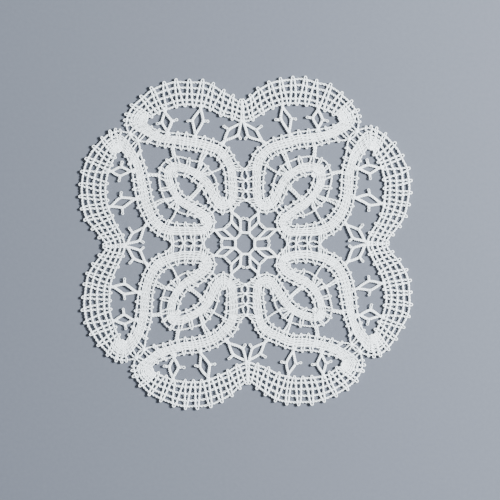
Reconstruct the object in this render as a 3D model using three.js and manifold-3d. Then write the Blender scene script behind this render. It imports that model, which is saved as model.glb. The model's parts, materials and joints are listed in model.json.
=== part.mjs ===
// Bobbin lace piece: a square motif with scalloped sides and a heart in every corner.
//
// One narrow tape runs through the whole motif. Along each side it is worked open, as a
// border of two arches that meet in a dip. At each corner it makes a hairpin, turns to close
// cloth stitch and draws a heart whose middle is folded in as a leaf. Plaited eyes join border
// and hearts, a rosette of eight eyes fills the middle, and nets, bars and chains of twisted
// pairs hold the rest together. The solids are flat, each the outer form of one worked piece.
//
// Millimetres, +Z up, origin under the middle of the motif, the lace lying on Z = 0.

import * as THREE from 'three';
import { mergeVertices } from 'three/addons/utils/BufferGeometryUtils.js';
import Module from 'manifold-3d';

const wasm = await Module();
wasm.setup();

// ---------------------------------------------------------------- driving dimensions

const THICKNESS = 1.0;      // height of the lace over its thread crossings
const GAP = 0.35;           // clearance between one worked piece and the next
const PLAIT_WIDTH = 1.0;    // plait of four threads
const PAIR_WIDTH = 0.75;    // two threads twisted together
const LOOP_REACH = 0.45;    // small pin loops stand this far out of an edge pair
const PICOT_REACH = 1.1;    // the picots of the outer edge stand this far out
const KNOT_REACH = 0.4;     // an eye's root runs this far on past its knot
const RING_RADIUS = 3.25;   // open middle of the rosette
const RING_WIDTH = 0.9;     // ring of plaits round that opening
const RING_SIDES = 8;
const TAPE_STEPS = 2;       // outline steps between two pins of a tape
const PLAIT_STEPS = 2;      // outline steps between two bends of a plait
const QUARTERS = 4;
const SHORTEST_EDGE = 0.08; // outlines have no edge shorter than this
const STRAIGHTNESS = 0.01;  // and no point that stands out less than this
const SMALLEST_HOLE = 0.1;  // square millimetres

const SIDE_NAMES = ['north', 'east', 'south', 'west'];
const CORNER_NAMES = ['northeast', 'southeast', 'southwest', 'northwest'];

const LACE_COLOUR = 0xe9efee;
const LACE_ROUGHNESS = 0.85;

// Facing pins on the two edges of the border, from the dip to the corner: outer pin, inner pin.
const BORDER_PINS = [
  [[0.0, 41.7], [0.0, 36.2]],
  [[2.8, 43.2], [3.3, 37.2]],
  [[5.3, 45.2], [6.1, 38.6]],
  [[8.4, 47.2], [8.9, 40.0]],
  [[11.6, 48.2], [11.8, 41.0]],
  [[15.2, 48.6], [14.9, 41.5]],
  [[18.8, 48.5], [18.0, 41.5]],
  [[22.4, 47.8], [21.0, 41.0]],
  [[26.0, 46.3], [24.0, 40.0]],
  [[29.4, 44.3], [26.5, 38.8]],
  [[32.2, 41.8], [28.2, 37.9]],
  [[33.8, 39.2], [28.9, 37.4]],
  [[34.2, 37.2], [29.0, 37.1]],
];

// Facing pins on the two edges of half a heart, from the corner hairpin to the tip of the leaf:
// crescent and rosette side first, then the side towards the inside of the heart.
const HEART_PINS = [
  [[29.0, 36.8], [34.2, 36.6]],
  [[28.4, 36.0], [33.3, 35.0]],
  [[26.6, 34.9], [30.8, 33.0]],
  [[24.0, 34.0], [27.4, 30.7]],
  [[20.0, 33.2], [21.5, 28.9]],
  [[15.0, 32.5], [16.0, 28.2]],
  [[10.5, 31.3], [12.0, 27.4]],
  [[6.6, 29.6], [9.0, 25.9]],
  [[3.7, 27.0], [7.2, 24.2]],
  [[2.0, 23.6], [6.2, 22.0]],
  [[1.5, 15.4], [5.5, 16.2]],
  [[2.1, 12.2], [5.5, 14.0]],
  [[4.2, 9.8], [5.9, 13.1]],
  [[6.6, 9.2], [6.4, 12.9]],
  [[8.7, 9.9], [7.0, 13.4]],
  [[10.4, 11.7], [7.9, 14.9]],
  [[13.6, 17.1], [10.9, 19.6]],
  [[15.6, 19.1], [13.3, 21.9]],
  [[18.0, 20.2], [16.4, 23.6]],
  [[19.9, 20.5], [20.2, 24.4]],
  [[20.3, 20.3], [23.9, 23.9]],
];

// An eye is two plaits that part at one knot, bulge to both sides and meet again at the next.
// Each knot has a root that runs on into the tape or ring it is sewn to.
const DIP_EYE = {
  knots: [[0.6, 35.0], [5.6, 30.4]],
  roots: [[0.1, 36.4], [6.5, 29.2]],
  bulges: [[1.7, 31.9], [4.6, 33.8]],
};
const ARCH_EYES = [
  {
    knots: [[11.8, 39.5], [13.9, 33.7]],
    roots: [[11.5, 41.0], [14.0, 31.9]],
    bulges: [[11.3, 36.4], [14.5, 36.8]],
  },
  {
    knots: [[22.3, 39.3], [22.2, 34.9]],
    roots: [[22.4, 41.0], [22.1, 33.0]],
    bulges: [[20.5, 37.1], [23.8, 36.9]],
  },
];
const ROSETTE_EYE = {
  knots: [[1.9, 4.2], [3.7, 8.6]],
  roots: [[1.6, 3.2], [4.0, 10.2]],
  bulges: [[1.4, 6.6], [4.5, 6.2]],
};

// Twisted pairs in one half of a heart, between the heart and its leaf.
const NET_BARS = [
  [[11.2, 27.9], [13.6, 23.6]],
  [[13.6, 23.6], [10.4, 20.9]],
  [[10.4, 20.9], [5.8, 23.3]],
  [[13.6, 23.6], [16.3, 25.1], [20.7, 25.6], [21.3, 29.2]],
];
const LEAF_BAR = [[12.4, 17.4], [17.4, 12.4]];
const LEAF_FOOT = [[9.5, 11.3], [11.3, 9.5]];   // the two legs of the leaf are sewn together here

// Chains of small eyes, where the edge pairs of two tapes meet and part again: the places where
// they meet, and how far each goes to its side in between.
const AXIS_CHAIN = { joins: [[0, 12.6], [0, 15.4], [0, 18.6], [0, 21.9]], reach: 0.85 };
const CORNER_CHAIN = { joins: [[31.0, 31.0], [33.6, 33.6]], reach: 0.75 };

// Hand work is never quite even: places where the motif lies a little off its ideal drawing.
const PULL_REACH = 14;
const PULLS = [
  { at: [-24, 46], by: [-0.9, -0.1] },
  { at: [8, 44], by: [-0.2, 0.4] },
  { at: [30, 42], by: [0.0, -0.4] },
  { at: [46, 24], by: [0.5, -0.8] },
  { at: [47, 0], by: [0.3, -0.8] },
  { at: [20, -46], by: [0.0, 0.6] },
  { at: [-6, -40], by: [0.2, 0.2] },
  { at: [-44, -18], by: [0.2, -0.1] },
  { at: [-46, 16], by: [-0.1, -0.4] },
  { at: [-16, 16], by: [0.3, 0.4] },
  { at: [16, 2], by: [0.0, -0.6] },
  { at: [26, 20], by: [0.3, 0.3] },
  { at: [2, -18], by: [-0.4, 0.2] },
];

// ---------------------------------------------------------------- the plane of the drawing

const acrossAxis = ([x, y]) => [-x, y];
const acrossDiagonal = ([x, y]) => [y, x];

function quarterTurned([x, y], turns) {
  let point = [x, y];
  for (let turn = 0; turn < turns; turn += 1) {
    point = [point[1], -point[0]];
  }
  return point;
}

function uneven([x, y]) {
  let shifted = [x, y];
  for (const { at, by } of PULLS) {
    const distance = Math.hypot(x - at[0], y - at[1]);
    const strength = Math.exp(-(distance ** 2) / (2 * PULL_REACH ** 2));
    shifted = [shifted[0] + by[0] * strength, shifted[1] + by[1] * strength];
  }
  return shifted;
}

function smooth(points, steps) {
  const knots = points.map(([x, y]) => new THREE.Vector3(x, y, 0));
  const curve = new THREE.CatmullRomCurve3(knots, false, 'centripetal');
  return curve.getPoints((points.length - 1) * steps).map(({ x, y }) => [x, y]);
}

function movedAway(point, from, distance) {
  const length = Math.hypot(point[0] - from[0], point[1] - from[1]);
  return [
    point[0] + (distance * (point[0] - from[0])) / length,
    point[1] + (distance * (point[1] - from[1])) / length,
  ];
}

// ---------------------------------------------------------------- flat forms, as triangles

function band(edgeA, edgeB) {
  const triangles = [];
  for (let i = 0; i + 1 < edgeA.length; i += 1) {
    triangles.push([edgeA[i], edgeA[i + 1], edgeB[i + 1]]);
    triangles.push([edgeA[i], edgeB[i + 1], edgeB[i]]);
  }
  return triangles;
}

// A tape between two rows of pins, made wider by a reach on each edge and at its two ends.
function tape(pins, reachA, reachB, reachEnds = 0) {
  const edgeA = smooth(pins.map(([a]) => a), TAPE_STEPS);
  const edgeB = smooth(pins.map(([, b]) => b), TAPE_STEPS);
  const wideA = edgeA.map((point, i) => movedAway(point, edgeB[i], reachA));
  const wideB = edgeB.map((point, i) => movedAway(point, edgeA[i], reachB));
  const last = wideA.length - 1;
  for (const edge of [wideA, wideB]) {
    edge[0] = movedAway(edge[0], edge[1], reachEnds);
    edge[last] = movedAway(edge[last], edge[last - 1], reachEnds);
  }
  return band(wideA, wideB);
}

// A plait or pair of even width along a path.
function strand(path, width, steps = 1) {
  const line = smooth(path, steps);
  const last = line.length - 1;
  const sideways = line.map((point, i) => {
    const before = line[Math.max(i - 1, 0)];
    const after = line[Math.min(i + 1, last)];
    const length = Math.hypot(after[0] - before[0], after[1] - before[1]);
    return [(before[1] - after[1]) / length, (after[0] - before[0]) / length];
  });
  const offset = (side) => line.map(([x, y], i) => [
    x + (side * width * sideways[i][0]) / 2,
    y + (side * width * sideways[i][1]) / 2,
  ]);
  return band(offset(1), offset(-1));
}

// Two pairs along a row of joins, a reach to each side of the row half way between the joins.
function chain({ joins, reach }, width) {
  const start = joins[0];
  const end = joins.at(-1);
  const length = Math.hypot(end[0] - start[0], end[1] - start[1]);
  const across = [(start[1] - end[1]) / length, (end[0] - start[0]) / length];
  const pairs = [-reach, reach].map((side) => joins.flatMap((join, i) => {
    if (i === 0) {
      return [join];
    }
    const before = joins[i - 1];
    const middle = [0, 1].map((k) => (before[k] + join[k]) / 2 + side * across[k]);
    return [middle, join];
  }));
  return pairs.flatMap((path) => strand(path, width, PLAIT_STEPS));
}

function ring() {
  const circle = (radius) => Array.from({ length: RING_SIDES + 1 }, (_, i) => {
    const angle = ((i + 0.5) * 2 * Math.PI) / RING_SIDES;
    return [radius * Math.cos(angle), radius * Math.sin(angle)];
  });
  return band(circle(RING_RADIUS), circle(RING_RADIUS + RING_WIDTH));
}

// ---------------------------------------------------------------- joining and trimming forms

function extruded(shape) {
  const geometry = new THREE.ExtrudeGeometry(shape, { depth: THICKNESS, bevelEnabled: false });
  geometry.deleteAttribute('normal');
  geometry.deleteAttribute('uv');
  return mergeVertices(geometry);
}

function prism(corners) {
  const shape = new THREE.Shape(corners.map(([x, y]) => new THREE.Vector2(x, y)));
  const geometry = extruded(shape);
  return new wasm.Manifold(new wasm.Mesh({
    numProp: 3,
    vertProperties: new Float32Array(geometry.attributes.position.array),
    triVerts: new Uint32Array(geometry.index.array),
  }));
}

const joined = (solids) => solids.reduce((whole, next) => whole.add(next));
const solidOf = (form) => joined(form.map(prism));

// The closed lines round a flat solid: the edges that only one of its top triangles has.
function rimsOf(solid) {
  const { vertProperties, triVerts } = solid.getMesh();
  const point = (vertex) => [vertProperties[3 * vertex], vertProperties[3 * vertex + 1]];
  const isTop = (vertex) => vertProperties[3 * vertex + 2] > THICKNESS / 2;
  const edges = new Set();
  for (let i = 0; i < triVerts.length; i += 3) {
    const corners = [triVerts[i], triVerts[i + 1], triVerts[i + 2]];
    if (corners.every(isTop)) {
      corners.forEach((vertex, k) => edges.add(`${vertex} ${corners[(k + 1) % 3]}`));
    }
  }
  const following = new Map();
  for (const edge of edges) {
    const [from, to] = edge.split(' ').map(Number);
    if (!edges.has(`${to} ${from}`)) {
      following.set(from, to);
    }
  }
  const rims = [];
  while (following.size > 0) {
    const rim = [];
    let vertex = following.keys().next().value;
    while (following.has(vertex)) {
      rim.push(point(vertex));
      const next = following.get(vertex);
      following.delete(vertex);
      vertex = next;
    }
    rims.push(rim);
  }
  return rims;
}

function areaOf(rim) {
  return rim.reduce((sum, [x, y], i) => {
    const [nextX, nextY] = rim[(i + 1) % rim.length];
    return sum + (x * nextY - nextX * y) / 2;
  }, 0);
}

// Drops the points that a rim doesn't need: those close to the last one or on a straight run.
function tidied(rim) {
  const apart = rim.filter((point, i) => {
    const before = rim.at(i - 1);
    return Math.hypot(point[0] - before[0], point[1] - before[1]) > SHORTEST_EDGE;
  });
  return apart.filter((point, i) => {
    const before = apart.at(i - 1);
    const after = apart[(i + 1) % apart.length];
    const base = Math.hypot(after[0] - before[0], after[1] - before[1]);
    const height = (2 * Math.abs(areaOf([before, point, after]))) / base;
    return height > STRAIGHTNESS;
  });
}

// The mesh of a flat solid, after its quarter turns and with the hand work's unevenness.
function geometryOf(solid, turns) {
  const rims = rimsOf(solid).map(tidied).filter((rim) => rim.length > 2);
  const ordered = rims.sort((a, b) => areaOf(b) - areaOf(a));
  const paths = ordered.map((rim) => rim.map((point) => {
    const [x, y] = uneven(quarterTurned(point, turns));
    return new THREE.Vector2(x, y);
  }));
  const shape = new THREE.Shape(paths[0]);
  const holes = paths.slice(1).filter((_, i) => areaOf(ordered[i + 1]) < -SMALLEST_HOLE);
  shape.holes = holes.map((path) => new THREE.Path(path));
  return extruded(shape);
}

// ---------------------------------------------------------------- the motif's pieces

const mirrored = (pins, across) => pins.slice(1).reverse().map((pair) => pair.map(across));
const borderPins = [...mirrored(BORDER_PINS, acrossAxis), ...BORDER_PINS];
const heartPins = [
  ...HEART_PINS,
  ...HEART_PINS.slice(0, -1).reverse().map((pair) => pair.map(acrossDiagonal)),
];
const borderForm = (more) => tape(borderPins, PICOT_REACH + more, LOOP_REACH + more, more);
const heartForm = (more) => tape(heartPins, LOOP_REACH + more, LOOP_REACH + more, more);

function eye({ knots, roots, bulges }, across = (point) => point) {
  const ends = knots.map((knot, i) => [roots[i], movedAway(knot, roots[i], KNOT_REACH)]);
  const plaits = bulges.map((bulge) => [knots[0], bulge, knots[1]]);
  return [
    ...ends.flatMap((path) => strand(path.map(across), PLAIT_WIDTH)),
    ...plaits.flatMap((path) => strand(path.map(across), PLAIT_WIDTH, PLAIT_STEPS)),
  ];
}

// Each side's four arch eyes are numbered along the border.
function archEyes() {
  const left = [...ARCH_EYES].reverse().map((drawing) => eye(drawing, acrossAxis));
  return [...left, ...ARCH_EYES.map((drawing) => eye(drawing))];
}

function dipSpray() {
  return [...eye(DIP_EYE), ...eye(DIP_EYE, acrossAxis)];
}

function rosetteQuarter() {
  return [...eye(ROSETTE_EYE), ...eye(ROSETTE_EYE, acrossDiagonal)];
}

function netBars(across = (point) => point) {
  return NET_BARS.flatMap((path) => strand(path.map(across), PAIR_WIDTH));
}

const turnsOfSides = [...Array(QUARTERS).keys()];
const turnedForm = (form, turns) => form.map(
  (corners) => corners.map((point) => quarterTurned(point, turns)),
);

// Everything that is sewn to the tapes is trimmed to stand a gap away from them.
const widerTapes = turnsOfSides.flatMap((turns) => [
  solidOf(turnedForm(borderForm(GAP), turns)),
  solidOf(turnedForm(heartForm(GAP), turns)),
]);
const tapeClearance = joined(widerTapes);
const trimmed = (form) => solidOf(form).subtract(tapeClearance);

// The tapes themselves make room for the chains.
const chainClearance = solidOf([
  ...chain(AXIS_CHAIN, PAIR_WIDTH + 2 * GAP),
  ...turnedForm(chain(AXIS_CHAIN, PAIR_WIDTH + 2 * GAP), 1),
  ...chain(CORNER_CHAIN, PAIR_WIDTH + 2 * GAP),
]);
const heartTape = solidOf([...heartForm(0), ...strand(LEAF_FOOT, PLAIT_WIDTH)]);

const rosetteForm = turnsOfSides.flatMap((turns) => turnedForm(rosetteQuarter(), turns));
const sidePieces = {
  border: solidOf(borderForm(0)),
  dip_spray: trimmed(dipSpray()),
  axis_chain: solidOf(chain(AXIS_CHAIN, PAIR_WIDTH)),
};
const cornerPieces = {
  heart: heartTape.subtract(chainClearance),
  corner_chain: solidOf(chain(CORNER_CHAIN, PAIR_WIDTH)),
  heart_net_left: trimmed(netBars()),
  heart_net_right: trimmed(netBars(acrossDiagonal)),
  leaf_bar: trimmed(strand(LEAF_BAR, PLAIT_WIDTH)),
};
archEyes().forEach((form, i) => {
  sidePieces[`plait_eye_${i + 1}`] = trimmed(form);
});

const lace = new THREE.Group();

function addPiece(name, solid, turns) {
  const material = new THREE.MeshStandardMaterial({
    color: LACE_COLOUR,
    roughness: LACE_ROUGHNESS,
    metalness: 0,
  });
  const mesh = new THREE.Mesh(geometryOf(solid, turns), material);
  mesh.name = name;
  lace.add(mesh);
}

addPiece('rosette', trimmed([...ring(), ...rosetteForm]), 0);
for (const turns of turnsOfSides) {
  for (const [name, solid] of Object.entries(sidePieces)) {
    addPiece(`${name}_${SIDE_NAMES[turns]}`, solid, turns);
  }
  for (const [name, solid] of Object.entries(cornerPieces)) {
    addPiece(`${name}_${CORNER_NAMES[turns]}`, solid, turns);
  }
}

// The origin is under the middle of the whole motif.
const middle = new THREE.Box3().setFromObject(lace).getCenter(new THREE.Vector3());
lace.position.set(-middle.x, -middle.y, 0);

const motif = new THREE.Group();
motif.add(lace);

export default motif;
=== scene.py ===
# Bobbin lace piece, thread by thread.
#
# The motif is drawn once for one half side and one half heart, in millimetres, and every thread
# of it is laid as a round tube: twisted pairs in the open border, cloth stitch in the hearts,
# plaits of four in the eyes and the rosette. The drawing is then mirrored, turned by quarters,
# made as uneven as the solids are, and scaled to metres.

import json
import math

import bmesh
import bpy
import numpy as np
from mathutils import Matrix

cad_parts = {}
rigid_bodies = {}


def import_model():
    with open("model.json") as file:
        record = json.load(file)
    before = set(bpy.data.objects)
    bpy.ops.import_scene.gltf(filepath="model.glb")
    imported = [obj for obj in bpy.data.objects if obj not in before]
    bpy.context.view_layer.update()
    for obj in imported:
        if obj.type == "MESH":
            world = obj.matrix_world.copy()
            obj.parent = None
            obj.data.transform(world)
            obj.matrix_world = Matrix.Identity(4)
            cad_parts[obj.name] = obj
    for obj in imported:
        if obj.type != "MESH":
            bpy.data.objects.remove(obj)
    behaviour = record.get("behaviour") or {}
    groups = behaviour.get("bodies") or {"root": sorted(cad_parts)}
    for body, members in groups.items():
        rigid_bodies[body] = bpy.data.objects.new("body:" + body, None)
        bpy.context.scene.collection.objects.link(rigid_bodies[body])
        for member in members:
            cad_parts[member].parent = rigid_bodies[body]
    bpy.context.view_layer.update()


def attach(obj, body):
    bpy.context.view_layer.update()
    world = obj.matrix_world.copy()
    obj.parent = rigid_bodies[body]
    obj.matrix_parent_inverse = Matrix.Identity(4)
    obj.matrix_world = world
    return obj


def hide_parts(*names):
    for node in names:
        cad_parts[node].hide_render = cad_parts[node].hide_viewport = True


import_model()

MM = 0.001

# ---------------------------------------------------------------- thread and stitches

THREAD_RADIUS = 0.165      # linen lace thread
TUBE_SIDES = 6
CLOTH_TUBE_SIDES = 5       # in the hearts, where threads lie close
MIDDLE_LEVEL = 0.42        # height of the lace's middle above the table
STEP = 0.28                # distance between two rings of a twisted thread
TWIST_RADIUS = 0.185       # from the middle of a twisted pair to the middle of its threads
HALF_TURN = 0.9            # length of one half turn of a pair
OVER = 0.25                # how far a worker's threads part to pass over and under a pair
OVER_REACH = 0.3           # length over which they part
WEAVE_HEIGHT = 0.13        # threads of cloth stitch lie this far above or below the middle
WORKER_APART = 0.144       # half the distance between the two threads of a worker in cloth stitch
PLAIT_HALF_WIDTH = 0.27
PLAIT_HALF_HEIGHT = 0.19
PLAIT_LENGTH = 2.4         # length in which each thread of a plait goes over and back
PLAIT_PARTED = 0.09        # half the distance in height between two plaits that cross
PLAIT_RINGS = 9            # rings of a thread in a plait's length of over and back
PLAIT_FINENESS = 0.87      # thickness of stretched threads, as a share of the usual one
PICOT_FINENESS = 0.75
HEART_FINENESS = 0.87
HEART_TWIST = 0.15         # twist radius in the hearts, where pairs are twisted more closely
SLUB = 0.07                # threads are this much thicker and thinner along their length
SLUB_LENGTHS = (2.9, 5.3, 11.0)
THREAD_ROUND = 2 * math.pi * THREAD_RADIUS
ROW_HEIGHT = 1.25 * THREAD_ROUND  # of the rows in which a piece's threads are laid out flat
CAP_MARGIN = 0.8           # tube ends lie this far beside the rows
ROUTE_POINTS = 12          # points of a pair's smooth line between two points of the drawing
PLAIT_POINTS = 16          # the same for a plait

FLAT = 0.0                 # phase of a pair whose threads lie side by side, in half turns
UPRIGHT = 0.5              # phase of a pair whose threads lie one over the other

# ---------------------------------------------------------------- the drawing

# Facing pins on the two edges of the border, from the dip to the corner: outer pin, inner pin.
BORDER_PINS = [
    ((0.0, 41.7), (0.0, 36.2)), ((2.8, 43.2), (3.3, 37.2)), ((5.3, 45.2), (6.1, 38.6)),
    ((8.4, 47.2), (8.9, 40.0)), ((11.6, 48.2), (11.8, 41.0)), ((15.2, 48.6), (14.9, 41.5)),
    ((18.8, 48.5), (18.0, 41.5)), ((22.4, 47.8), (21.0, 41.0)), ((26.0, 46.3), (24.0, 40.0)),
    ((29.4, 44.3), (26.5, 38.8)), ((32.2, 41.8), (28.2, 37.9)), ((33.8, 39.2), (28.9, 37.4)),
    ((34.2, 37.2), (29.0, 37.1)),
]
LAST_BORDER_PIN = len(BORDER_PINS) - 1
CLOSING = 9.6                                   # from here the border closes towards the heart
CLOSING_PAIRS = (0.42, 0.66, 0.74, 0.87, 0.94)  # pairs that come in between the others there
BORDER_PAIRS = (0.0, 0.25, 0.53, 0.8, 1.0)      # lengthwise pairs, from the outer edge inwards
OUTER_PICOTS = (0.2, 1.05, 2.05, 3.0, 4.0, 5.0, 6.0, 7.0, 8.0, 9.0, 10.0, 11.0, 11.85)
INNER_LOOPS = (0.92, 1.96, 3.03, 3.93, 4.68, 5.48, 6.33, 7.47, 8.2, 9.18, 10.5, 11.6)
SEWN_INNER_LOOPS = (3.93, 7.47)                 # here the plaits of the arch eyes are sewn on

# Half a heart, from the corner to the leaf's tip: crescent side, then the heart's inner side.
HEART_PINS = [
    ((29.0, 36.8), (34.2, 36.6)), ((28.4, 36.0), (33.3, 35.0)), ((26.6, 34.9), (30.8, 33.0)),
    ((24.0, 34.0), (27.4, 30.7)), ((20.0, 33.2), (21.5, 28.9)), ((15.0, 32.5), (16.0, 28.2)),
    ((10.5, 31.3), (12.0, 27.4)), ((6.6, 29.6), (9.0, 25.9)), ((3.7, 27.0), (7.2, 24.2)),
    ((2.0, 23.6), (6.2, 22.0)), ((1.5, 15.4), (5.5, 16.2)), ((2.1, 12.2), (5.5, 14.0)),
    ((4.2, 9.8), (5.9, 13.1)), ((6.6, 9.2), (6.4, 12.9)), ((8.7, 9.9), (7.0, 13.4)),
    ((10.4, 11.7), (7.9, 14.9)), ((13.6, 17.1), (10.9, 19.6)), ((15.6, 19.1), (13.3, 21.9)),
    ((18.0, 20.2), (16.4, 23.6)), ((19.9, 20.5), (20.2, 24.4)), ((20.3, 20.3), (23.9, 23.9)),
]
LEAF_TIP = len(HEART_PINS) - 1
HEART_END = 2 * LEAF_TIP
# The heart's threads come out of the border: a row before the first one, and how far into it.
ROW_BEFORE = ((28.9, 37.5), (34.1, 38.3))
RUN_IN = 0.8

# Where the edge pairs leave the straight edge of the tape, to meet a neighbour or a net:
# place along the tape, then the point.
OWN_WAY_A = [
    (9.2, (0.4, 21.9)), (9.4, (1.0, 20.2)), (9.6, (0.35, 18.6)), (9.8, (1.0, 17.0)),
    (10.0, (0.35, 15.4)), (10.45, (1.0, 14.0)), (10.88, (0.35, 12.7)), (11.15, (1.4, 12.0)),
    (11.5, (2.5, 11.1)), (11.8, (3.5, 10.0)),
]
OWN_WAY_B = [
    (0.0, (34.3, 36.5)), (0.9, (34.0, 34.6)), (1.3, (33.5, 33.4)), (1.65, (31.9, 32.7)),
    (2.1, (31.1, 31.2)), (2.5, (29.6, 30.7)), (3.0, (27.4, 30.5)),
]
OWN_WAY_LEAF = [
    (14.0, (7.0, 13.4)), (15.0, (8.1, 15.2)), (15.5, (8.5, 17.3)), (16.0, (9.1, 19.3)),
    (16.4, (10.0, 20.8)), (17.0, (12.9, 24.0)), (17.9, (16.3, 25.1)), (18.9, (20.2, 25.6)),
    (19.5, (22.6, 25.0)), (20.0, (24.1, 24.1)),
]
# Pins that have their own place: the rest stand evenly between them.
PINS_A = (0.3, 3.5, 5.2, 7.03, 9.2, 9.6, 10.0, 10.88, 11.9, 12.95, 14.1, 16.0, 19.6)
PINS_B = (0.15, 1.3, 2.1, 3.4, 8.5, 12.2, 13.8, 15.5, 16.4, 17.0, 17.9, 18.9, 19.55)
JOINED_A = (3.5, 5.2, 7.03, 9.2, 9.6, 10.0, 10.88, 11.9, 14.1)
JOINED_B = (1.3, 2.1, 16.4, 17.0, 18.9)
SAME_PLACE = 0.06          # a pin this near to a joined place is sewn there
PIN_SPACING = 2.3
BORDER_LEG_APART = 0.45    # a leg of the border's worker crosses the edge pair this far from its pin
LEG_APART = 0.36           # the same in the hearts
LEG_SPREAD = 0.2           # it enters the cloth stitch this share of the pins' distance from its pin
BORDER_POINTS = 4          # drawn points of a border's lengthwise pair for each pin
HEART_POINTS = 241         # drawn points of a heart's edge pair

CLOTH_THREADS = 8
CLOTH_SPACING = 0.325
CLOSEST_CLOTH = 0.08       # but they are never farther apart than this share of the tape's width
CLOTH_FINENESS = 0.8       # its lengthwise threads are stretched and thinner than the others
WANDER = 0.28              # and wander to the side by up to this share of their spacing,
WANDER_WAVES = ((0.6, 2.3, 2.1), (0.4, 5.9, 4.0))  # in waves: size, rate, shift from thread to thread
LEAF_SHIFT = 0.06          # round the leaf the cloth stitch lies nearer to its outer edge,
LEAF_REACH = 6.5           # from this far before the tip,
LEAF_EASING = 2.5          # where it comes over in this length
CORNER_PAIR_END = 3.8      # a last open pair of the border joins the cloth stitch here
CORNER_SHARE = 0.82        # it starts at this share of the width
CORNER_DRIFT = 0.12        # and comes in by this much
CORNER_CROSSING = 0.2      # the worker crosses it in this first share of its pass
CORNER_SHIFT = 0.13        # at the corner the cloth stitch lies this much nearer to the other edge
CORNER_SPACING = 0.088     # with its threads this share of the width apart

# An eye is two plaits between two knots, with a picot on each bulge.
DIP_EYE = {
    "knots": ((0.5, 35.6), (5.4, 30.2)), "roots": ((0.1, 36.7), (6.4, 29.0)),
    "bulges": ((1.6, 32.0), (4.0, 33.7)), "picots": ((0.8, 30.9), (5.4, 34.7)),
}
ARCH_EYES = [
    {
        "knots": ((12.1, 40.2), (13.8, 32.8)), "roots": ((11.9, 41.5), (14.0, 31.6)),
        "bulges": ((11.5, 36.5), (14.4, 36.8)), "picots": ((9.9, 36.4), (15.9, 36.6)),
    },
    {
        "knots": ((22.5, 39.8), (22.2, 34.0)), "roots": ((22.6, 41.2), (22.1, 32.7)),
        "bulges": ((20.9, 37.0), (23.5, 36.7)), "picots": ((19.3, 37.3), (25.0, 36.3)),
    },
]
ROSETTE_EYE = {
    "knots": ((1.55, 3.75), (3.85, 9.1)), "roots": ((1.25, 3.0), (4.1, 10.2)),
    "bulges": ((1.6, 6.8), (4.05, 6.5)), "picots": ((0.5, 7.2), (5.3, 5.2)),
}
BELLY = 0.12               # the plaits of an eye are a little rounder than straight
ROOT_APART = 0.34          # and end this far to both sides of its root
RING_RADIUS = 3.35         # of the corners of the rosette's ring
RING_SIDES = 8
RING_OVERRUN = 0.13        # its plaits run past the corners by this share of a side,
RING_END = 1.06            # to this share of the radius

# Pairs in one half of a heart between its tape and its leaf.
NET_PAIRS = [
    ((10.8, 27.5), (12.75, 24.4), (13.2, 22.2)),
    ((12.0, 27.9), (13.25, 24.6), (13.7, 22.4)),
    ((5.9, 23.1), (8.4, 21.6), (10.0, 20.8), (10.9, 19.9)),
    ((20.35, 25.4), (20.7, 27.2), (20.9, 28.9)),
    ((20.95, 25.4), (21.2, 27.2), (21.5, 28.9)),
]
LEAF_PAIRS = [((13.0, 17.2), (17.2, 13.0)), ((12.6, 16.8), (16.8, 12.6))]
LEAF_FOOT = [((8.6, 10.3), (10.3, 8.6)), ((9.7, 11.4), (11.4, 9.7))]
AXIS_JOINS = ((0.0, 12.65), (0.0, 15.4), (0.0, 18.6), (0.0, 21.9))
CORNER_JOINS = ((31.1, 31.1), (33.5, 33.5))

# Pin loops: how far the pin stands out from the edge pair, and the radius of the loop round it.
BORDER_PICOT = (0.62, 0.36)
BORDER_LOOP = (0.42, 0.32)
HEART_LOOP = (0.36, 0.24)
SEWN_LOOP = (0.05, 0.2)
LOOP_HALF_ANGLE = math.radians(125)
SEWN_HALF_ANGLE = math.radians(90)
LOOP_POINTS = 7
PICOT_RADIUS = 0.34        # of a picot on a plait
PICOT_HALF_ANGLE = math.radians(150)
PICOT_POINTS = 9
PICOT_STEM = 0.13          # half the distance between its two legs

# A sewing: a thread wound round both edge pairs, this far to their sides, up and down, and along.
SEWING_REACH = 0.52
SEWING_RISE = 0.3
SEWING_LENGTH = 0.28
SEWING_TURNS = 2.5
SEWING_POINTS = 24

# Hand work is never quite even: places where the motif lies a little off its ideal drawing.
PULL_REACH = 14.0
PULLS = [
    ((-24, 46), (-0.9, -0.1)), ((8, 44), (-0.2, 0.4)), ((30, 42), (0.0, -0.4)),
    ((46, 24), (0.5, -0.8)), ((47, 0), (0.3, -0.8)), ((20, -46), (0.0, 0.6)),
    ((-6, -40), (0.2, 0.2)), ((-44, -18), (0.2, -0.1)), ((-46, 16), (-0.1, -0.4)),
    ((-16, 16), (0.3, 0.4)), ((16, 2), (0.0, -0.6)), ((26, 20), (0.3, 0.3)),
    ((2, -18), (-0.4, 0.2)),
]
CAD_PICOT_REACH = 1.1      # the solids' outer rim stands this far out of the outer pins
CAD_STEPS = 2              # and has this many points from pin to pin

# Smaller unevenness, as no hand pulls each stitch alike: waves of these lengths.
WAVE_LENGTHS = (4.5, 5.5, 6.5, 8.0, 10.0, 13.0, 17.0)
WAVE_SIZE = 0.007          # share of its length that a wave goes to the side

SIDES = ("north", "east", "south", "west")
CORNERS = ("northeast", "southeast", "southwest", "northwest")

# ---------------------------------------------------------------- colours, light and camera

LACE_DARKER = (0.74, 0.80, 0.83, 1)
LACE_LIGHTER = (0.88, 0.93, 0.96, 1)
PLIES = 4
PLY_LAY = 1.5              # millimetres in which a ply goes once round the thread
FIBRES_ALONG = 6.0         # fineness of the fibres along the thread,
FIBRES_ROUND = 9.0         # round it,
FIBRE_HEIGHT = 0.5         # and their height beside that of a ply
FLOOR_DARKER = (0.076, 0.085, 0.106, 1)
FLOOR_LIGHTER = (0.090, 0.100, 0.122, 1)

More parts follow.
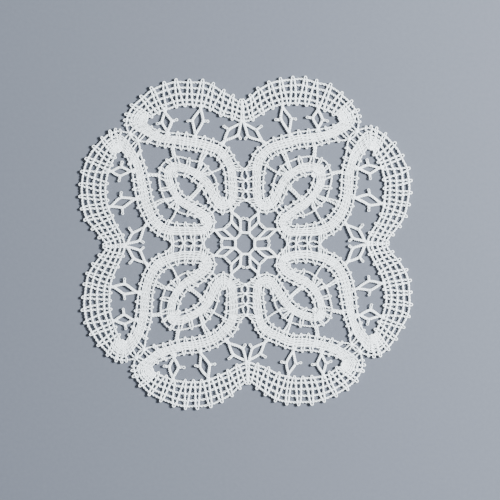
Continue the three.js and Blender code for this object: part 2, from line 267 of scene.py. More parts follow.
# In metres: name, place, diameter, power and colour of each light, which all face the middle.
LIGHTS = (
    ("key", (0.52, 0.12, 0.42), 0.16, 30.0, (0.975, 0.99, 1.0)),
    ("fill", (-0.20, -0.30, 0.80), 0.6, 2.4, (0.94, 0.97, 1.0)),
)
SKY_COLOUR = (0.93, 0.96, 1.0, 1)
SKY_STRENGTH = 0.3
FLOOR_HALF = 0.6
VIEW_WIDTH = 0.1497        # of the table in the picture
CAMERA_HEIGHT = 0.75
SENSOR = 36.0              # millimetres, as the lens
ROLL = math.radians(1.1)   # the motif lies turned by this, its top to the left
VIEW_SHIFT = (1.41, -2.07)  # millimetres from the drawing's origin to the picture's middle

chance = np.random.default_rng(1871)

# ---------------------------------------------------------------- curves in the plane


def unit(vectors):
    return vectors / np.maximum(np.linalg.norm(vectors, axis=-1, keepdims=True), 1e-9)


def along(points, places):
    """A smooth curve through points, at places that are counted in points."""
    points = np.asarray(points, float)
    places = np.clip(np.atleast_1d(np.asarray(places, float)), 0, len(points) - 1)
    first = np.minimum(places.astype(int), len(points) - 2)
    weight = (places - first)[:, None]
    ends = [2 * points[:1] - points[1:2], points, 2 * points[-1:] - points[-2:-1]]
    padded = np.vstack(ends)
    before, start, end, after = (padded[first + k] for k in range(4))
    gaps = [
        np.sqrt(np.linalg.norm(b - a, axis=1, keepdims=True))
        for a, b in ((before, start), (start, end), (end, after))
    ]
    leave = (start - before) / gaps[0] - (end - before) / (gaps[0] + gaps[1])
    leave = (leave + (end - start) / gaps[1]) * gaps[1]
    arrive = (end - start) / gaps[1] - (after - start) / (gaps[1] + gaps[2])
    arrive = (arrive + (after - end) / gaps[2]) * gaps[1]
    square = -3 * start + 3 * end - 2 * leave - arrive
    cube = 2 * start - 2 * end + leave + arrive
    return start + leave * weight + square * weight**2 + cube * weight**3


class Edge:
    """An edge of a tape: a smooth curve through points that stand at known places."""

    def __init__(self, places, points):
        order = np.argsort(places)
        self.places = np.asarray(places, float)[order]
        self.points = np.asarray(points, float)[order]

    def at(self, places):
        counted = np.interp(places, self.places, np.arange(len(self.places)))
        return along(self.points, counted)

    def heading(self, place):
        nearby = self.at([place - 0.04, place + 0.04])
        return nearby[1] - nearby[0]

    def per_mm(self, place):
        return 0.08 / max(np.linalg.norm(self.heading(place)), 1e-3)


def across_axis(point):
    return (-point[0], point[1])


def across_diagonal(point):
    return (point[1], point[0])


def border_row(points):
    """A row of the border's pins from corner to corner, from those of its half."""
    return [across_axis(p) for p in points[:0:-1]] + list(points)


def heart_edge(points, row_before, *ways):
    """An edge of a whole heart, from the points of its half and the stretches led another way."""
    half = [
        (place, point) for place, point in enumerate(points)
        if not any(way[0][0] <= place <= way[-1][0] for way in ways)
    ]
    half += [(-1, row_before), *(stop for way in ways for stop in way)]
    whole = half + [(HEART_END - t, across_diagonal(p)) for t, p in half if t < LEAF_TIP]
    return Edge([t for t, _ in whole], [p for _, p in whole])


def between(edges, place, share):
    """The point at a share of the way from a tape's first edge to its second."""
    return edges[0].at(place)[0] * (1 - share) + edges[1].at(place)[0] * share


def quarter_turned(points, turns):
    """Points turned clockwise by quarter turns."""
    for _ in range(turns):
        points = np.stack([points[:, 1], -points[:, 0]], axis=1)
    return points


def uneven(points):
    """Points pulled off the ideal drawing."""
    moved = points.copy()
    for at, by in PULLS:
        distance = np.linalg.norm(points - np.array(at, float), axis=1)
        strength = np.exp(-(distance**2) / (2 * PULL_REACH**2))
        moved += strength[:, None] * np.array(by, float)
    return moved


WAVES = [
    (chance.normal(size=2), chance.uniform(0, 2 * math.pi, 3), length)
    for length in WAVE_LENGTHS
]


def trembled(points):
    """Points moved by small waves in the plane and in height."""
    moved = points.copy()
    for direction, phases, length in WAVES:
        run = points[:, :2] @ unit(direction) * 2 * math.pi / length
        size = WAVE_SIZE * length
        moved[:, 0] += size * np.sin(run + phases[0])
        moved[:, 1] += size * np.sin(run * 1.1 + phases[1])
        moved[:, 2] += 0.25 * size * (1 + np.sin(run * 0.7 + phases[2]))
    return moved


# ---------------------------------------------------------------- laying threads


def lengths_along(route):
    """Lengths along a route, from its start to each of its points."""
    steps = np.linalg.norm(np.diff(route, axis=0), axis=1)
    return np.concatenate([[0], np.cumsum(steps)])


def sideways(points):
    """Directions to the left of a line, at each of its points."""
    return unit(np.stack([-np.gradient(points[:, 1]), np.gradient(points[:, 0])], axis=1))


def finer(threads, fineness):
    """The same threads, each with its thickness as a share of the usual one."""
    return [np.column_stack([t[:, :3], np.full(len(t), fineness)]) for t in threads]


def pair(route, marks, weave=None, twist=TWIST_RADIUS):
    """The two threads of a pair that is twisted along a route.

    A mark is (index in the route, phase at that point, turns or holds since the last mark).
    Weave maps an index in the route to the heights of the two threads there.
    """
    route = np.asarray(route, float)
    run = lengths_along(route)
    mark_runs, phases = [], []
    for index, phase, turns in marks:
        place = run[index]
        if not phases:
            value = phase
        elif turns:
            halves = max(1, round((place - mark_runs[-1]) / HALF_TURN))
            value = phases[-1] + halves + (phase - phases[-1]) % 1.0
            if (phase - phases[-1]) % 1.0 > 0.4:
                value -= 1 if halves > 1 else 0
        else:
            value = phases[-1] + (phase - phases[-1]) % 1.0
        mark_runs.append(place)
        phases.append(value)
    steps = max(2, int(run[-1] / STEP))
    places = np.linspace(0, run[-1], steps + 1)
    if weave:
        fixed = run[sorted(weave)]
        near = np.abs(places[:, None] - fixed[None, :]).min(axis=1) < STEP * 0.5
        places = np.sort(np.concatenate([places[~near], fixed]))
    centre = np.stack([np.interp(places, run, route[:, k]) for k in (0, 1)], axis=1)
    phase = np.interp(places, mark_runs, phases) * math.pi
    side = sideways(centre)
    upright = [r for r, p in zip(mark_runs, phases) if (p % 1.0) > 0.25]
    spread = np.full(len(places), twist)
    if upright:
        distance = np.abs(places[:, None] - np.array(upright)[None, :]).min(axis=1)
        spread += (OVER - twist) * np.exp(-((distance / OVER_REACH) ** 2))
    heights = np.zeros((2, len(places)))
    if weave:
        order = sorted(weave)
        for k in (0, 1):
            heights[k] = np.interp(places, run[order], [weave[i][k] for i in order])
    threads = []
    for k, sign in enumerate((1, -1)):
        flat = centre + sign * twist * np.cos(phase)[:, None] * side
        height = sign * spread * np.sin(phase) + heights[k]
        threads.append(np.column_stack([flat, height]))
    return threads


def free_pair(points):
    """A twisted pair that crosses nothing, on a smooth line through points."""
    last = len(points) - 1
    route = along(points, np.linspace(0, last, ROUTE_POINTS * last + 1))
    return pair(route, [(0, FLAT, True), (len(route) - 1, FLAT, True)])


def plait(points, level):
    """A plait of four stretched threads on a smooth line through points."""
    last = len(points) - 1
    route = along(points, np.linspace(0, last, PLAIT_POINTS * last + 1))
    run = lengths_along(route)
    cycles = max(1, round(2 * run[-1] / PLAIT_LENGTH)) / 2
    places = np.linspace(0, run[-1], max(4, round(cycles * PLAIT_RINGS)) + 1)
    centre = np.stack([np.interp(places, run, route[:, k]) for k in (0, 1)], axis=1)
    side = sideways(centre)
    threads = []
    for k in range(4):
        turn = 2 * math.pi * (places / run[-1] * cycles + k / 4)
        reach = -PLAIT_HALF_WIDTH * np.cos(turn)
        height = -PLAIT_HALF_HEIGHT * np.sin(3 * turn) + level
        threads.append(np.column_stack([centre + reach[:, None] * side, height]))
    return finer(threads, PLAIT_FINENESS)


def ring_points(centre, outward, ahead, radius, half_angle, count):
    """Points round a pin, from behind it to ahead of it, past its outward side."""
    angles = np.linspace(-half_angle, half_angle, count)
    return [centre + radius * (math.cos(a) * outward + math.sin(a) * ahead) for a in angles]


def stemmed_picot(base, centre):
    """A picot on a plait: a pair that runs out to a pin, round it and back."""
    base, centre = np.array(base, float), np.array(centre, float)
    outward = unit(centre - base)
    ahead = np.array([outward[1], -outward[0]])
    loop = ring_points(centre, outward, ahead, PICOT_RADIUS, PICOT_HALF_ANGLE, PICOT_POINTS)
    route = [base - PICOT_STEM * ahead, *loop, base + PICOT_STEM * ahead]
    last = len(route) - 1
    marks = [(0, UPRIGHT, True), (1, UPRIGHT, True), (last - 1, UPRIGHT, False)]
    threads = pair(route, [*marks, (last, UPRIGHT, True)], twist=HEART_TWIST)
    return finer(threads, PICOT_FINENESS)


def eye(drawing, across=lambda point: point):
    """Two plaits that cross at both knots, with a picot on each bulge."""
    threads = []
    knots, roots, bulges, picots = (
        [np.array(across(point)) for point in drawing[key]]
        for key in ("knots", "roots", "bulges", "picots")
    )
    line = unit(knots[1] - knots[0])
    normal = np.array([-line[1], line[0]])
    for bulge, picot, level in zip(bulges, picots, (PLAIT_PARTED, -PLAIT_PARTED)):
        side = math.copysign(1.0, (bulge - knots[0]) @ normal)
        halfway = [(knot + bulge) / 2 + BELLY * side * normal for knot in knots]
        ends = [root - ROOT_APART * side * normal for root in roots]
        path = [ends[0], knots[0], halfway[0], bulge, halfway[1], knots[1], ends[1]]
        threads += plait(path, level)
        threads += stemmed_picot(bulge, picot)
    return threads


# ---------------------------------------------------------------- the worker of a tape


def crossing_places(passes, share):
    """Where the passes of a worker cross a line that runs at a share of the tape's width."""
    places = []
    for start, start_share, end, end_share in passes:
        part = (share - start_share) / (end_share - start_share)
        if -1e-6 <= part <= 1 + 1e-6:
            places.append(start + (end - start) * part)
    return sorted(places)


def pin_loop(edges, side, place, size):
    """Points of a worker round a pin, in the direction it works; a sewn loop is half round."""
    reach, radius = size
    point = edges[side].at(place)[0]
    ahead = unit(edges[side].heading(place))
    normal = np.array([-ahead[1], ahead[0]])
    outward = normal * math.copysign(1.0, normal @ (point - edges[1 - side].at(place)[0]))
    half_angle = SEWN_HALF_ANGLE if size is SEWN_LOOP else LOOP_HALF_ANGLE
    return ring_points(point + reach * outward, outward, ahead, radius, half_angle, LOOP_POINTS)


# ---------------------------------------------------------------- the border


def border_stops():
    """Pins of the border's worker, in the order it meets them: place, and edge (0 is outer)."""
    stops = [(0.0, 1)]
    for outer_place, inner_place in zip(OUTER_PICOTS, (*INNER_LOOPS, None)):
        stops.append((outer_place, 0))
        if inner_place is not None:
            stops.append((inner_place, 1))
    return [(-place, side) for place, side in stops[:0:-1]] + stops


def border_worker(edges, stops):
    """The border's worker pair, and its passes: start and end, each with its edge."""
    sewn = {0.0, *SEWN_INNER_LOOPS, *(-place for place in SEWN_INNER_LOOPS)}
    route, marks, passes = [], [(0, UPRIGHT, True)], []
    for number, (place, side) in enumerate(stops):
        if number > 0:
            before, before_side = stops[number - 1]
            leave = before + BORDER_LEG_APART * edges[before_side].per_mm(before)
            arrive = place - BORDER_LEG_APART * edges[side].per_mm(place)
            passes.append((leave, before_side, arrive, side))
            shares = list(BORDER_PAIRS)
            if min(abs(place), abs(before)) > CLOSING:
                shares += CLOSING_PAIRS
            for share in sorted(shares, reverse=side == 0):
                part = share if side == 1 else 1 - share
                route.append(between(edges, leave + (arrive - leave) * part, share))
                marks.append((len(route) - 1, UPRIGHT, share != before_side))
        if side == 0:
            size = BORDER_PICOT
        else:
            size = SEWN_LOOP if place in sewn else BORDER_LOOP
        route += pin_loop(edges, side, place, size)
    marks.append((len(route) - 1, UPRIGHT, False))
    return pair(route, marks), passes


def border_threads():
    places = np.arange(-LAST_BORDER_PIN, LAST_BORDER_PIN + 1)
    edges = [Edge(places, border_row(points)) for points in zip(*BORDER_PINS)]
    threads, passes = border_worker(edges, border_stops())
    lines = [(share, (-LAST_BORDER_PIN, LAST_BORDER_PIN)) for share in BORDER_PAIRS]
    for share in CLOSING_PAIRS:
        lines += [(share, (-LAST_BORDER_PIN, -CLOSING)), (share, (CLOSING, LAST_BORDER_PIN))]
    for share, (low, high) in lines:
        crossings = [t for t in crossing_places(passes, share) if low < t < high]
        drawn = np.linspace(low, high, round(BORDER_POINTS * (high - low)) + 1)
        places = np.unique(np.concatenate([drawn, crossings]))
        line = [between(edges, place, share) for place in places]
        at_crossings = np.searchsorted(places, crossings)
        marks = [(0, FLAT, True), *((i, FLAT, True) for i in at_crossings if i > 0)]
        if marks[-1][0] < len(places) - 1:
            marks.append((len(places) - 1, FLAT, True))
        threads += pair(line, marks)
    return threads


# ---------------------------------------------------------------- the hearts


def cloth_share(plain, number, place):
    """The share of the width at which a lengthwise thread of the cloth stitch runs."""
    width = np.linalg.norm(plain[1].at(place)[0] - plain[0].at(place)[0])
    from_end = min(place, HEART_END - place)
    corner = min(max(1 - from_end / CORNER_PAIR_END, 0), 1)
    corner = corner**2 * (3 - 2 * corner)
    leaf = min(max((LEAF_REACH - abs(place - LEAF_TIP)) / LEAF_EASING, 0), 1)
    middle = 0.5 - CORNER_SHIFT * corner + LEAF_SHIFT * leaf
    spacing = min(CLOTH_SPACING, CLOSEST_CLOTH * width) / width
    spacing = spacing * (1 - corner) + CORNER_SPACING * corner
    waves = (size * math.sin(rate * place + shift * number) for size, rate, shift in WANDER_WAVES)
    return middle + (number - (CLOTH_THREADS - 1) / 2 + WANDER * sum(waves)) * spacing


def corner_share(place):
    """The share of the width of the pair that runs between cloth stitch and outer edge."""
    from_end = min(place, HEART_END - place)
    return CORNER_SHARE - CORNER_DRIFT * from_end / CORNER_PAIR_END


def evenly_filled(edge, stops):
    """Places of pins along an edge, about a pin spacing apart between its fixed stops."""
    places = [stops[0]]
    for start, end in zip(stops[:-1], stops[1:]):
        tried = np.linspace(start, end, 24)
        length = lengths_along(edge.at(tried))
        count = max(1, round(length[-1] / PIN_SPACING - 0.3))
        shares = np.arange(1, count + 1) / count * length[-1]
        places += list(np.interp(shares, length, tried))
    return places


def heart_pins(edges):
    """Pins of the heart's worker, in the order it meets them: place, edge, and kind.

    Where two pins of one edge follow each other, it turns between them without a pin.
    """
    stops = []
    for side, fixed in enumerate((PINS_A, PINS_B)):
        places = evenly_filled(edges[side], fixed)
        places += [HEART_END - place for place in places[::-1]]
        stops += [(place, side) for place in places]
    pins = []
    for place, side in sorted(stops):
        if pins and pins[-1][1] == side:
            pins.append(((pins[-1][0] + place) / 2, 1 - side, "turn"))
        pins.append((place, side, "pin"))
    return pins


def leg_spread(pins, number):
    """How far before and after its pin, along the tape, the worker enters the cloth stitch."""
    place, side, kind = pins[number]
    if kind == "turn":
        return 0.0
    others = [t for t, s, k in pins if (s, k) == (side, kind) and t != place]
    return LEG_SPREAD * min(abs(place - other) for other in others)


def is_joined(place, side):
    """Whether a pin of the heart is sewn to a neighbour."""
    place = min(place, HEART_END - place)
    return any(abs(place - joined) < SAME_PLACE for joined in (JOINED_A, JOINED_B)[side])


def heart_worker(edges, plain, pins):
    """The heart's worker pair, and where it crosses the cloth stitch and the corner pair."""
    route, marks, weave = [], [(0, UPRIGHT, True)], {}
    crossings = [[] for _ in range(CLOTH_THREADS)]
    corner_crossings = []

    def lead_round(*points):
        for point in points:
            weave[len(route)] = (0, 0)
            route.append(point)

    def cross_corner_pair(place):
        corner_crossings.append(place)
        lead_round(between(plain, place, corner_share(place)))
        marks.append((len(route) - 1, UPRIGHT, True))

    for number, (place, side, kind) in enumerate(pins):
        if number > 0:
            before, before_side, before_kind = pins[number - 1]
            start = before + leg_spread(pins, number - 1)
            end = place - leg_spread(pins, number)
            if end < start:
                start = end = (start + end) / 2
            if before_kind == "pin":
                leave = before + LEG_APART * edges[before_side].per_mm(before)
                route.append(edges[before_side].at(leave)[0])
                marks.append((len(route) - 1, UPRIGHT, False))
            at_corner = min(end, HEART_END - start) < CORNER_PAIR_END
            if at_corner and before_side == 1:
                cross_corner_pair(start + (end - start) * CORNER_CROSSING)
            travel = 1 if before_side == 0 else -1
            for step, thread in enumerate(range(CLOTH_THREADS)[::travel]):
                share = cloth_share(plain, thread, (start + end) / 2)
                part = share if before_side == 0 else 1 - share
                crossing = start + (end - start) * part
                crossings[thread].append(crossing)
                height = travel * (1 if thread % 2 else -1) * WEAVE_HEIGHT
                weave[len(route)] = (height, -height)
                route.append(between(plain, crossing, cloth_share(plain, thread, crossing)))
                if step in (0, CLOTH_THREADS - 1):
                    marks.append((len(route) - 1, FLAT, step == 0))
            if at_corner and before_side == 0:
                cross_corner_pair(start + (end - start) * (1 - CORNER_CROSSING))
            if kind == "pin":
                lead_round(edges[side].at(place - LEG_APART * edges[side].per_mm(place))[0])
                marks.append((len(route) - 1, UPRIGHT, True))
        if kind == "pin":
            size = SEWN_LOOP if is_joined(place, side) else HEART_LOOP
            lead_round(*pin_loop(edges, side, place, size))
    marks.append((len(route) - 1, UPRIGHT, False))
    return pair(route, marks, weave, HEART_TWIST), crossings, corner_crossings


def cloth_threads(plain, crossings):
    """The lengthwise threads of the cloth stitch, over and under the worker's threads."""
    threads = []
    for number, crossed in enumerate(crossings):
        height = WEAVE_HEIGHT if number % 2 else -WEAVE_HEIGHT
        stops = [(-RUN_IN, 0.0), (HEART_END + RUN_IN, 0.0)]
        for place in crossed:
            apart = WORKER_APART * plain[0].per_mm(place)
            stops += [(place - apart, height), (place + apart, -height)]
        stops = np.array(sorted(stops))
        stops = stops[np.concatenate([[True], np.diff(stops[:, 0]) > 1e-3])]
        line = [between(plain, place, cloth_share(plain, number, place)) for place in stops[:, 0]]
        threads.append(np.column_stack([line, stops[:, 1]]))
    return finer(threads, CLOTH_FINENESS)


def edge_pairs(edges, pins):
    """The twisted pairs along a heart's two edges, crossed by the worker beside each pin."""
    threads = []
    for side, edge in enumerate(edges):
        legs = []
        for place in [t for t, s, kind in pins if (s, kind) == (side, "pin")]:
            leg = LEG_APART * edge.per_mm(place)
            legs += [place - leg, place + leg]
        drawn = np.linspace(-RUN_IN, HEART_END + RUN_IN, HEART_POINTS)
        places = np.unique(np.concatenate([drawn, legs]))
        crossed = np.searchsorted(places, np.unique(legs))
        marks = [(index, FLAT, True) for index in (0, *crossed, len(places) - 1)]
        threads += pair(edge.at(places), marks, twist=HEART_TWIST)
    return threads


def corner_pairs(plain, crossings):
    """At each end of a heart, the pair between its cloth stitch and its outer edge."""
    threads = []
    low = [t for t in sorted(crossings) if t < LEAF_TIP]
    high = [t for t in sorted(crossings) if t > LEAF_TIP]
    starts = [-RUN_IN, *low, CORNER_PAIR_END]
    finishes = [HEART_END - CORNER_PAIR_END, *high, HEART_END + RUN_IN]
    for places in (starts, finishes):
        line = [between(plain, place, corner_share(place)) for place in places]
        marks = [(index, FLAT, True) for index in range(len(line))]
        threads += pair(line, marks, twist=HEART_TWIST)
    return threads


def heart_threads():
    rows = list(zip(*HEART_PINS))
    plain = [heart_edge(points, before) for points, before in zip(rows, ROW_BEFORE)]
    edges = [
        heart_edge(rows[0], ROW_BEFORE[0], OWN_WAY_A),
        heart_edge(rows[1], ROW_BEFORE[1], OWN_WAY_B, OWN_WAY_LEAF),
    ]
    pins = heart_pins(edges)
    threads, crossings, corner_crossings = heart_worker(edges, plain, pins)
    threads += edge_pairs(edges, pins) + corner_pairs(plain, corner_crossings)
    for points in LEAF_FOOT:
        threads += free_pair(points)
    return finer(threads, HEART_FINENESS) + cloth_threads(plain, crossings)


# ---------------------------------------------------------------- the small pieces


def on_ring(radius, corner):
    """A point round the middle, at a place that is counted in the ring's corners."""
    angle = (2 * corner + 1) * math.pi / RING_SIDES
    return radius * math.cos(angle), radius * math.sin(angle)


def rosette_threads():
    """Eight eyes, and a ring of eight plaits that cross at its corners."""
    threads = []
    for turns in range(4):
        for across in (lambda p: p, across_diagonal):
            for thread in eye(ROSETTE_EYE, across):
                turned = thread.copy()
                turned[:, :2] = quarter_turned(thread[:, :2], turns)
                threads.append(turned)
    inner_radius = RING_RADIUS * math.cos(math.pi / RING_SIDES)
    for side in range(RING_SIDES):
        points = [
            on_ring(RING_END * RING_RADIUS, side - RING_OVERRUN),
            on_ring(inner_radius, side + 0.5),
            on_ring(RING_END * RING_RADIUS, side + 1 + RING_OVERRUN),
        ]
        threads += plait(points, PLAIT_PARTED if side % 2 else -PLAIT_PARTED)
    return threads


def joins_threads(joins):
    """At each join a thread is sewn round both edge pairs."""
    joins = [np.array(join) for join in joins]
    direction = unit(joins[-1] - joins[0])
    across = np.array([-direction[1], direction[0]])
    threads = []
    turn = np.linspace(0, SEWING_TURNS * 2 * math.pi, SEWING_POINTS)
    reach = SEWING_REACH * np.cos(turn)
    shift = np.linspace(-SEWING_LENGTH, SEWING_LENGTH, SEWING_POINTS)
    for join in joins:
        flat = join + reach[:, None] * across + shift[:, None] * direction
        threads.append(np.column_stack([flat, SEWING_RISE * np.sin(turn)]))
    return threads


def net_threads(across=lambda point: point):
    """The twisted pairs between a heart and one side of its leaf."""
    threads = []
    for path in NET_PAIRS:
        threads += free_pair([across(point) for point in path])
    return threads


def leaf_bar_threads():
    return [thread for points in LEAF_PAIRS for thread in free_pair(points)]


# ---------------------------------------------------------------- tubes


def add_object(name, data):
    thing = bpy.data.objects.new(name, data)
    bpy.context.scene.collection.objects.link(thing)
    return thing


def drawing_middle():
    """Where the solids' own middle lies in the drawing: the middle of their outer rims."""
    outer, inner = (np.array(border_row(points)) for points in zip(*BORDER_PINS))
    steps = np.linspace(0, LAST_BORDER_PIN, CAD_STEPS * LAST_BORDER_PIN + 1)
    line = along(outer, steps + LAST_BORDER_PIN)
    rim = line + CAD_PICOT_REACH * unit(line - along(inner, steps + LAST_BORDER_PIN))
    rim = np.vstack([rim, rim * (-1, 1)])
    points = np.vstack([uneven(quarter_turned(rim, turns)) for turns in range(4)])
    return (points.min(axis=0) + points.max(axis=0)) / 2


MIDDLE = drawing_middle()


def placed(thread, turns):
    """A thread of the drawing in its real place, in metres."""
    flat = uneven(quarter_turned(thread[:, :2], turns)) - MIDDLE
    points = trembled(np.column_stack([flat, thread[:, 2] + MIDDLE_LEVEL]))
    return points * MM


def tube(points, sides, fineness):
    """Rings of a round tube along points, with their thickness as uneven as spun thread."""
    heading = unit(np.gradient(points, axis=0))
    side = unit(np.cross(np.array([0.0, 0.0, 1.0]), heading))
    rise = np.cross(heading, side)
    run = lengths_along(points) / MM
    phases = chance.uniform(0, 2 * math.pi, 3)
    slubs = sum(np.sin(2 * math.pi * run / w + p) for w, p in zip(SLUB_LENGTHS, phases))
    radius = THREAD_RADIUS * fineness * MM * (1 + SLUB * slubs / 2)
    angles = np.arange(sides) * 2 * math.pi / sides
    rings = (
        points[:, None, :]
        + radius[:, None, None] * np.cos(angles)[None, :, None] * side[:, None, :]
        + radius[:, None, None] * np.sin(angles)[None, :, None] * rise[:, None, :]
    )
    return rings, run


def tube_faces(count, sides, first):
    """Faces of a closed tube of count rings, its points numbered from first."""
    ring = np.arange(count - 1)[:, None] * sides
    corner = np.arange(sides)[None, :]
    following = (corner + 1) % sides
    quads = [ring + corner, ring + following, ring + sides + following, ring + sides + corner]
    quads = np.stack(quads, axis=-1).reshape(-1, 4) + first
    start = first + np.arange(sides)
    return [*quads.tolist(), start[::-1].tolist(), (start + (count - 1) * sides).tolist()]


def face_corners(low, high, left, right):
    """Map corners of a tube's quads, from their four borders in the map."""
    low, high = low + 0 * left, high + 0 * left
    corners = [(low, left), (low, right), (high, right), (high, left)]
    return np.stack([np.stack(corner, -1) for corner in corners], axis=2).reshape(-1, 2)


def tube_maps(run, start, sides, row_width):
    """Two maps of a tube: along and round the thread, and laid out flat in rows."""
    low, high = run[:-1, None], run[1:, None]
    left = np.arange(sides)[None, :] / sides + 0 * low
    right = (np.arange(sides)[None, :] + 1) / sides + 0 * low
    caps = [np.tile([end, 0.5], (sides, 1)) for end in (run[0], run[-1])]
    own = np.vstack([face_corners(low, high, left, right), *caps])
    row = np.floor((start + low) / row_width)
    shift = start - row * row_width
    base = row * ROW_HEIGHT + left * THREAD_ROUND
    top = row * ROW_HEIGHT + right * THREAD_ROUND
    caps = np.tile([row_width + CAP_MARGIN, 0.0], (2 * sides, 1))
    return own, np.vstack([face_corners(low + shift, high + shift, base, top), caps])


def make_piece(name, threads, turns, material, nodes, sides=TUBE_SIDES):
    """One mesh of closed tubes, with its two maps and a tint for each thread."""
    all_points, all_faces, thread_map, flat_map, tints = [], [], [], [], []
    lines = [placed(thread, turns) for thread in threads]
    lengths = [lengths_along(line)[-1] / MM for line in lines]
    row_width = math.sqrt(sum(lengths) * ROW_HEIGHT) + 1.0
    first, start = 0, 0.0
    for thread, line in zip(threads, lines):
        fineness = thread[0, 3] if thread.shape[1] > 3 else 1.0
        rings, run = tube(line, sides, fineness)
        all_points.append(rings.reshape(-1, 3))
        all_faces += tube_faces(len(rings), sides, first)
        own, laid = tube_maps(run, start, sides, row_width)
        thread_map.append(own)
        flat_map.append(laid)
        tints.append(np.full(len(rings) * sides, chance.uniform()))
        first += len(rings) * sides
        start += run[-1]
    mesh = bpy.data.meshes.new(name)
    mesh.from_pydata(np.vstack(all_points).tolist(), [], all_faces)
    mesh.polygons.foreach_set("use_smooth", np.ones(len(mesh.polygons), bool))
    rows = math.ceil(start / row_width)
    size = max(row_width + 1.0, rows * ROW_HEIGHT)
    for map_name, corners in (("thread", np.vstack(thread_map)), ("OFBake", np.vstack(flat_map) / size)):
        layer = mesh.uv_layers.new(name=map_name)
        layer.data.foreach_set("uv", corners.ravel())
    tint = mesh.attributes.new("tint", "FLOAT", "POINT")
    tint.data.foreach_set("value", np.concatenate(tints))
    mesh.materials.append(material)
    mesh.update()
    piece = add_object(name, mesh)
    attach(piece, "root")
    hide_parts(*nodes)
    return piece


# ---------------------------------------------------------------- materials


def add_node(tree, kind, inputs=None, **settings):
    """A new node with its settings and inputs; an input is a plain value or an output."""
    node = tree.nodes.new("ShaderNode" + kind)
    for name, value in settings.items():
        setattr(node, name, value)
    for socket, value in (inputs or {}).items():
        if isinstance(value, bpy.types.NodeSocket):
            tree.links.new(value, node.inputs[socket])
        else:
            node.inputs[socket].default_value = value
    return node


def calculated(tree, operation, first, second=0.0):
    return add_node(tree, "Math", {0: first, 1: second}, operation=operation).outputs[0]


def noise(tree, scale, detail):
    """Noise that stays with the object."""
    where = add_node(tree, "TexCoord").outputs["Object"]
    return add_node(tree, "TexNoise", {"Scale": scale, "Detail": detail, "Vector": where}).outputs[0]


def ranged(tree, value, low, high, from_low=0.0, from_high=1.0):
    """A value brought between low and high."""
    node = add_node(tree, "MapRange", {"Value": value, "To Min": low, "To Max": high})
    node.inputs["From Min"].default_value = from_low
    node.inputs["From Max"].default_value = from_high
    return node.outputs[0]


def mixed(tree, factor, first, second, blend="MIX"):
    """A colour between two colours, or their product."""
    node = add_node(
        tree, "Mix", {"Factor": factor, "A": first, "B": second},
        data_type="RGBA", blend_type=blend,
    )
    return node.outputs["Result"]


def spun_group():
    """The plies and fibres of spun thread: a height, and a painted shade that darkens the grooves
    between the plies, from its own map.
    """
    tree = bpy.data.node_groups.new("spun_thread", "ShaderNodeTree")
    for names, way in ((("Along", "Round"), "INPUT"), (("Height", "Shade"), "OUTPUT")):
        for name in names:
            tree.interface.new_socket(name, in_out=way, socket_type="NodeSocketFloat")
    given = tree.nodes.new("NodeGroupInput").outputs
    result = tree.nodes.new("NodeGroupOutput").inputs
    plies = calculated(tree, "MULTIPLY", given["Round"], PLIES * math.pi)
    lay = calculated(tree, "MULTIPLY", given["Along"], PLIES * math.pi / PLY_LAY)
    wave = calculated(tree, "SINE", calculated(tree, "ADD", plies, lay))
    groove = calculated(tree, "ABSOLUTE", wave)
    streaks = add_node(tree, "CombineXYZ", {
        0: calculated(tree, "MULTIPLY", given["Along"], FIBRES_ALONG),
        1: calculated(tree, "MULTIPLY", given["Round"], FIBRES_ROUND),
    })
    fibres = add_node(tree, "TexNoise", {"Scale": 1.0, "Detail": 2.0, "Vector": streaks.outputs[0]})
    rough = calculated(tree, "MULTIPLY", fibres.outputs[0], FIBRE_HEIGHT)
    tree.links.new(calculated(tree, "ADD", groove, rough), result["Height"])
    # Shade is painted shade: darkest in the grooves between the plies, where the height is lowest.
    tree.links.new(calculated(tree, "POWER", groove, 0.4), result["Shade"])
    return tree


def new_material(name, specular):
    material = bpy.data.materials.new(name)
    material.use_nodes = True
    shader = material.node_tree.nodes["Principled BSDF"]
    shader.inputs["Specular IOR Level"].default_value = specular
    return material, material.node_tree, shader


def finish_material(tree, shader, colour, roughness, height, strength, distance):
    bump = add_node(tree, "Bump", {"Strength": strength, "Distance": distance, "Height": height})
    tree.links.new(colour, shader.inputs["Base Color"])
    tree.links.new(roughness, shader.inputs["Roughness"])
    tree.links.new(bump.outputs[0], shader.inputs["Normal"])


def lace_material():
    """White thread: each with its own tint, clouded, and with painted shade darkening it between its
    plies.
    """
    material, tree, shader = new_material("lace_thread", specular=0.3)
    shader.inputs["Sheen Weight"].default_value = 0.25
    shader.inputs["Sheen Roughness"].default_value = 0.5
    own = add_node(tree, "UVMap", uv_map="thread")
    split = add_node(tree, "SeparateXYZ", {0: own.outputs[0]}).outputs
    spun = add_node(tree, "Group", node_tree=spun_group())
    tree.links.new(split[0], spun.inputs["Along"])
    tree.links.new(split[1], spun.inputs["Round"])
    tint = add_node(tree, "Attribute", attribute_name="tint").outputs["Fac"]
    clouds = noise(tree, 90.0, 3.0)
    clouded = ranged(tree, clouds, 0.88, 1.0, 0.3, 0.7)
    # painted shade between the plies, multiplied into the thread's colour below
    painted_ply_shade = ranged(tree, spun.outputs["Shade"], 0.82, 1.0)
    colour = mixed(tree, tint, LACE_DARKER, LACE_LIGHTER)
    colour = mixed(tree, 1.0, colour, calculated(tree, "MULTIPLY", clouded, painted_ply_shade), "MULTIPLY")
    roughness = ranged(tree, clouds, 0.88, 0.66)
    finish_material(tree, shader, colour, roughness, spun.outputs["Height"], 0.6, 0.00004)
    return material


def floor_material():
    """Grey-blue card with a fine grain."""
    material, tree, shader = new_material("floor_card", specular=0.15)
    grain = noise(tree, 900.0, 4.0)
    colour = mixed(tree, grain, FLOOR_DARKER, FLOOR_LIGHTER)
    finish_material(tree, shader, colour, ranged(tree, grain, 0.84, 0.96), grain, 0.3, 0.00005)
    return material


# ---------------------------------------------------------------- stage, light and camera


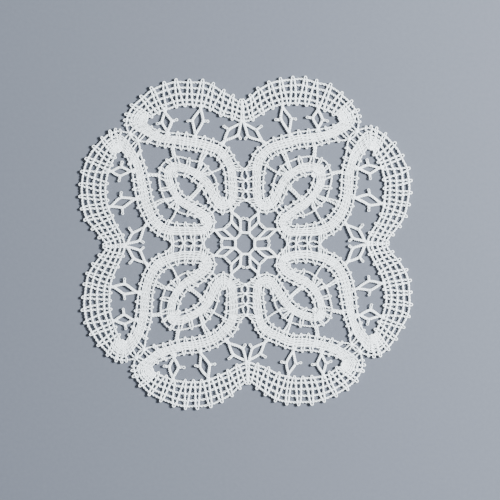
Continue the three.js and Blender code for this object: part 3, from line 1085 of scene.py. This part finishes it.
def area_light(name, position, size, power, colour):
    """A round light that faces the middle of the table."""
    light = bpy.data.lights.new(name, "AREA")
    light.shape = "DISK"
    light.size = size
    light.energy = power
    light.color = colour
    holder = add_object(name, light)
    across, back, up = position
    holder.location = position
    holder.rotation_euler = (
        math.atan2(math.hypot(across, back), up), 0, math.atan2(-back, -across) - math.pi / 2,
    )


def add_camera():
    """A camera straight above the table, turned a little."""
    camera = bpy.data.cameras.new("camera")
    camera.sensor_width = SENSOR
    camera.lens = SENSOR * CAMERA_HEIGHT / VIEW_WIDTH
    holder = add_object("camera", camera)
    right = np.array([math.cos(ROLL), -math.sin(ROLL)])
    up = np.array([math.sin(ROLL), math.cos(ROLL)])
    middle = (-MIDDLE + VIEW_SHIFT[0] * right + VIEW_SHIFT[1] * up) * MM
    holder.location = (middle[0], middle[1], CAMERA_HEIGHT)
    holder.rotation_euler = (0, 0, -ROLL)
    bpy.context.scene.camera = holder


def make_stage():
    sheet = bmesh.new()
    bmesh.ops.create_grid(sheet, x_segments=1, y_segments=1, size=FLOOR_HALF)
    mesh = bpy.data.meshes.new("floor")
    sheet.to_mesh(mesh)
    sheet.free()
    mesh.materials.append(floor_material())
    add_object("floor", mesh)
    for light in LIGHTS:
        area_light(*light)
    world = bpy.data.worlds.new("studio")
    world.use_nodes = True
    background = world.node_tree.nodes["Background"]
    background.inputs["Color"].default_value = SKY_COLOUR
    background.inputs["Strength"].default_value = SKY_STRENGTH
    bpy.context.scene.world = world
    add_camera()


# ---------------------------------------------------------------- putting it together

make_stage()
thread_material = lace_material()

side_pieces = {
    "border": border_threads(),
    "dip_spray": eye(DIP_EYE) + eye(DIP_EYE, across_axis),
    "axis_chain": joins_threads(AXIS_JOINS),
}
left_eyes = [eye(drawing, across_axis) for drawing in ARCH_EYES[::-1]]
for number, threads in enumerate(left_eyes + [eye(drawing) for drawing in ARCH_EYES]):
    side_pieces[f"plait_eye_{number + 1}"] = threads
corner_pieces = {
    "heart": heart_threads(),
    "corner_chain": joins_threads(CORNER_JOINS),
    "heart_net_left": net_threads(),
    "heart_net_right": net_threads(across_diagonal),
    "leaf_bar": leaf_bar_threads(),
}

pieces = [make_piece("lace_rosette", rosette_threads(), 0, thread_material, ["rosette"])]
for turns in range(4):
    for places, drawn in ((SIDES, side_pieces), (CORNERS, corner_pieces)):
        for name, threads in drawn.items():
            node = f"{name}_{places[turns]}"
            sides = CLOTH_TUBE_SIDES if name == "heart" else TUBE_SIDES
            piece = make_piece(f"lace_{node}", threads, turns, thread_material, [node], sides)
            pieces.append(piece)

side_parts = ("dip_spray", *(f"plait_eye_{k + 1}" for k in range(4)))
corner_parts = ("corner_chain", "heart_net_left", "heart_net_right", "leaf_bar")
laid_down = [(pieces[0], [f"axis_chain_{side}" for side in SIDES])]
for places, main, small in ((SIDES, "border", side_parts), (CORNERS, "heart", corner_parts)):
    for place in places:
        piece = bpy.data.objects[f"lace_{main}_{place}"]
        laid_down.append((piece, [f"{part}_{place}" for part in small]))
for piece, parts in laid_down:
    # hearts and rosette are worked in their shape; here the small parts laid on each piece are gathered
    small = [bpy.data.objects[f"lace_{part}"] for part in parts]
